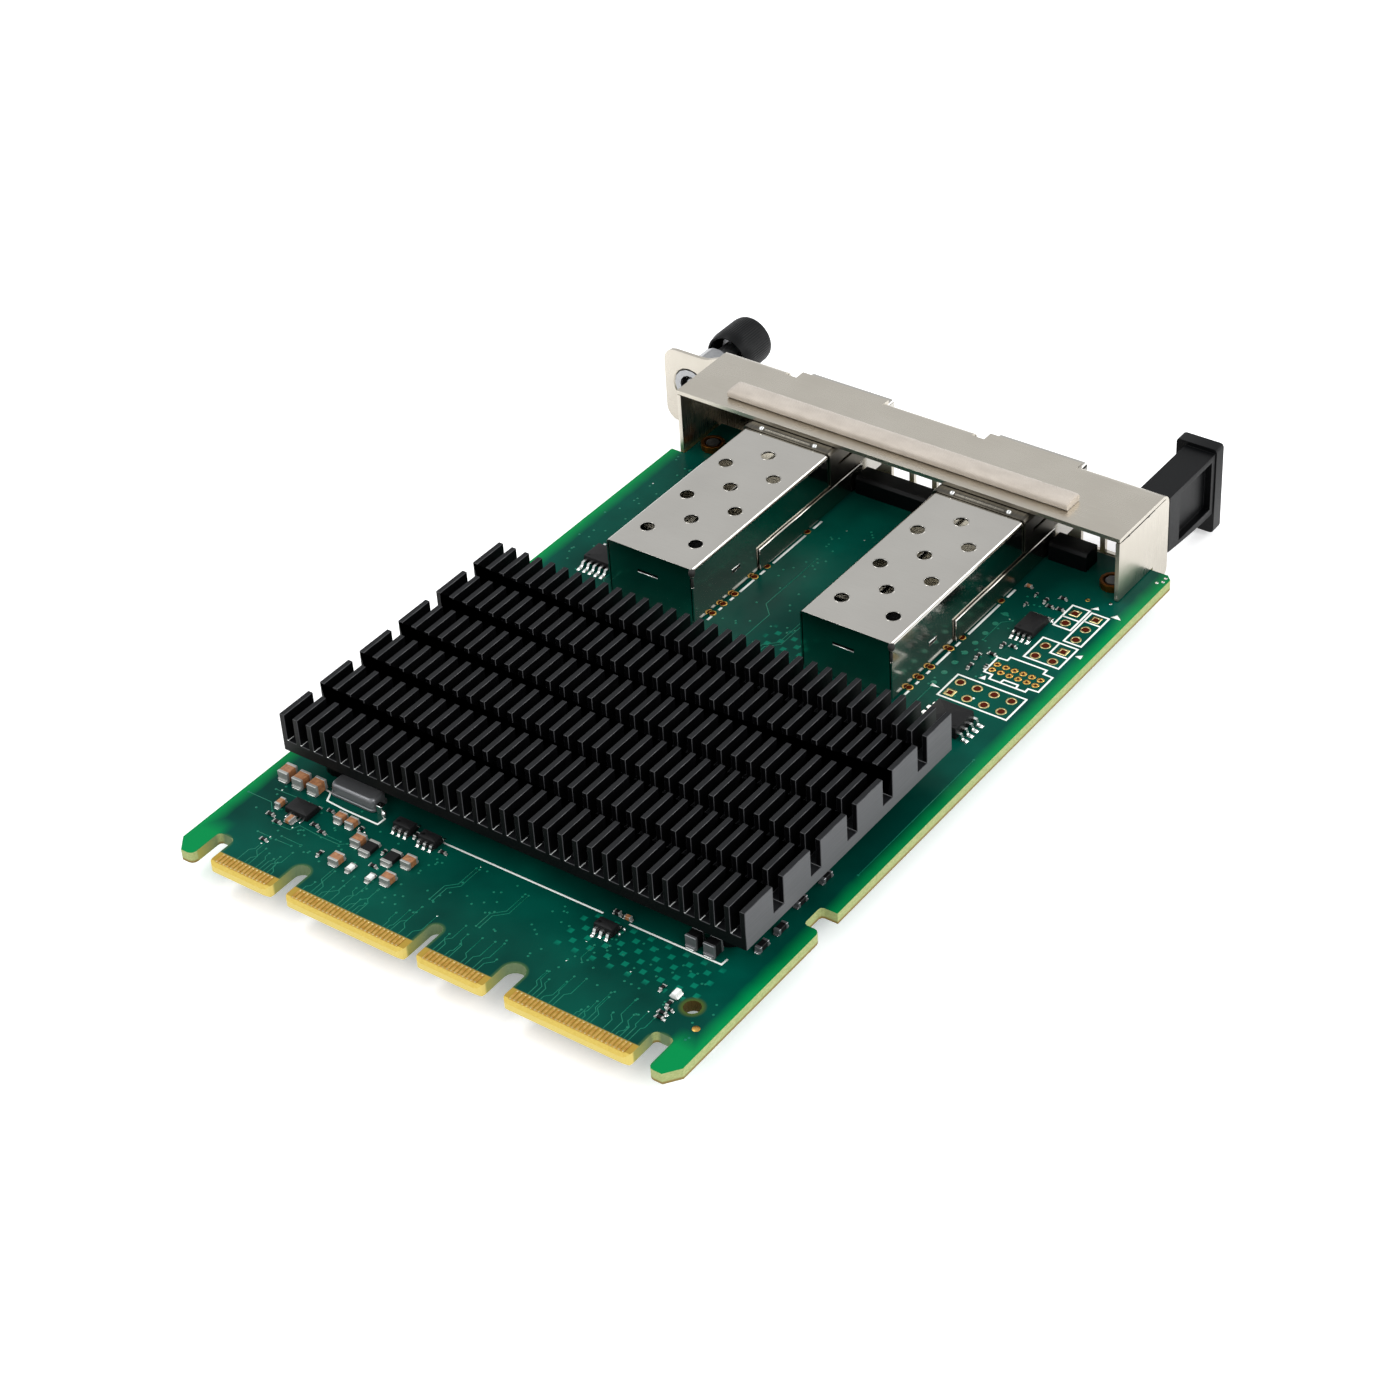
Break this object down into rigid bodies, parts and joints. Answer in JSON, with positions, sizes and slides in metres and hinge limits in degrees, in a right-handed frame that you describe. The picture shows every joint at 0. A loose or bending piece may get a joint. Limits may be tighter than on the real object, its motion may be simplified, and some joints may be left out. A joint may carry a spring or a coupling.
{
  "type": "mezzanine network card",
  "caption": "Server network card with edge tongues, cross-cut fin heat sink, small pluggable ports, folded bracket, captive thumbscrew and pull tab.",
  "frame": {"origin": "on the board's underside, at the middle of its width and of its length from tongue tips to back edge", "axes": "+X across the board towards the pull tab, +Y from the edge tongues towards the faceplate, +Z from the underside up through the heat sink"},
  "size_m": [0.0864, 0.1329, 0.0163],
  "materials": {
    "circuit_board": "green solder mask over glass-fibre laminate",
    "contact_gold": "gold plating",
    "black_anodised": "black anodised, matt",
    "chip_lid": "nickel-plated lid on a laminate",
    "thermal_pad": "soft silicone pad",
    "tinned_sheet": "bright tin over thin sheet",
    "nickel_spring": "nickel-plated spring sheet",
    "nickel_sheet": "satin nickel over folded sheet",
    "conductive_cloth": "metallised woven cloth over foam",
    "brass_nut": "plain brass",
    "plated_steel": "zinc or nickel plated",
    "black_moulding": "matt black moulding",
    "package_black": "black moulded package",
    "ceramic": "tan ceramic with tinned ends",
    "led_white": "milky white"
  },
  "bodies": {
    "card": {"bracket": "nickel_sheet", "bracket_nut_left": "brass_nut", "bracket_nut_right": "brass_nut", "bracket_screw_left": "plated_steel", "bracket_screw_right": "plated_steel", "bracket_spacer_left": "plated_steel", "bracket_spacer_right": "plated_steel", "cage_base_1": "tinned_sheet", "cage_base_2": "tinned_sheet", "cage_cover_1": "tinned_sheet", "cage_cover_2": "tinned_sheet", "capacitor_1": "ceramic", "capacitor_2": "ceramic", "capacitor_3": "ceramic", "capacitor_4": "ceramic", "capacitor_5": "ceramic", "circuit_board": "circuit_board", "clock_buffer_chip": "package_black", "controller_chip": "chip_lid", "crystal_can": "plated_steel", "edge_capacitor_1": "ceramic", "edge_capacitor_2": "ceramic", "edge_capacitor_3": "ceramic", "edge_capacitor_4": "ceramic", "edge_contacts_bottom_1": "contact_gold", "edge_contacts_bottom_2": "contact_gold", "edge_contacts_bottom_3": "contact_gold", "edge_contacts_bottom_4": "contact_gold", "edge_contacts_top_1": "contact_gold", "edge_contacts_top_2": "contact_gold", "edge_contacts_top_3": "contact_gold", "edge_contacts_top_4": "contact_gold", "emi_collar_1": "nickel_spring", "emi_collar_2": "nickel_spring", "emi_gasket": "conductive_cloth", "flash_chip": "package_black", "heat_sink": "black_anodised", "heat_sink_screw_1": "plated_steel", "heat_sink_screw_2": "plated_steel", "heat_sink_screw_3": "plated_steel", "heat_sink_screw_4": "plated_steel", "led_housing_middle": "package_black", "led_housing_side": "package_black", "load_switch": "package_black", "monitor_chip": "package_black", "port_receptacle_1": "package_black", "port_receptacle_2": "package_black", "power_driver_chip": "package_black", "pull_tab": "black_moulding", "pull_tab_screw": "plated_steel", "regulator_1": "package_black", "regulator_2": "package_black", "status_led": "led_white", "thermal_pad": "thermal_pad"},
    "ferrule": {"thumbscrew_ferrule": "plated_steel"},
    "thumbscrew": {"thumbscrew_knob": "black_moulding", "thumbscrew_screw": "plated_steel"}
  },
  "joints": [
    {"name": "thumbscrew_turn", "type": "hinge", "parent": "card", "child": "ferrule", "pos_m": [-0.044, 0.0609, 0.0032], "axis": [0, 1, 0], "continuous": true},
    {"name": "thumbscrew_slide", "type": "slide", "parent": "ferrule", "child": "thumbscrew", "axis": [0, -1, 0], "range_m": [0, 0.0042]}
  ]
}
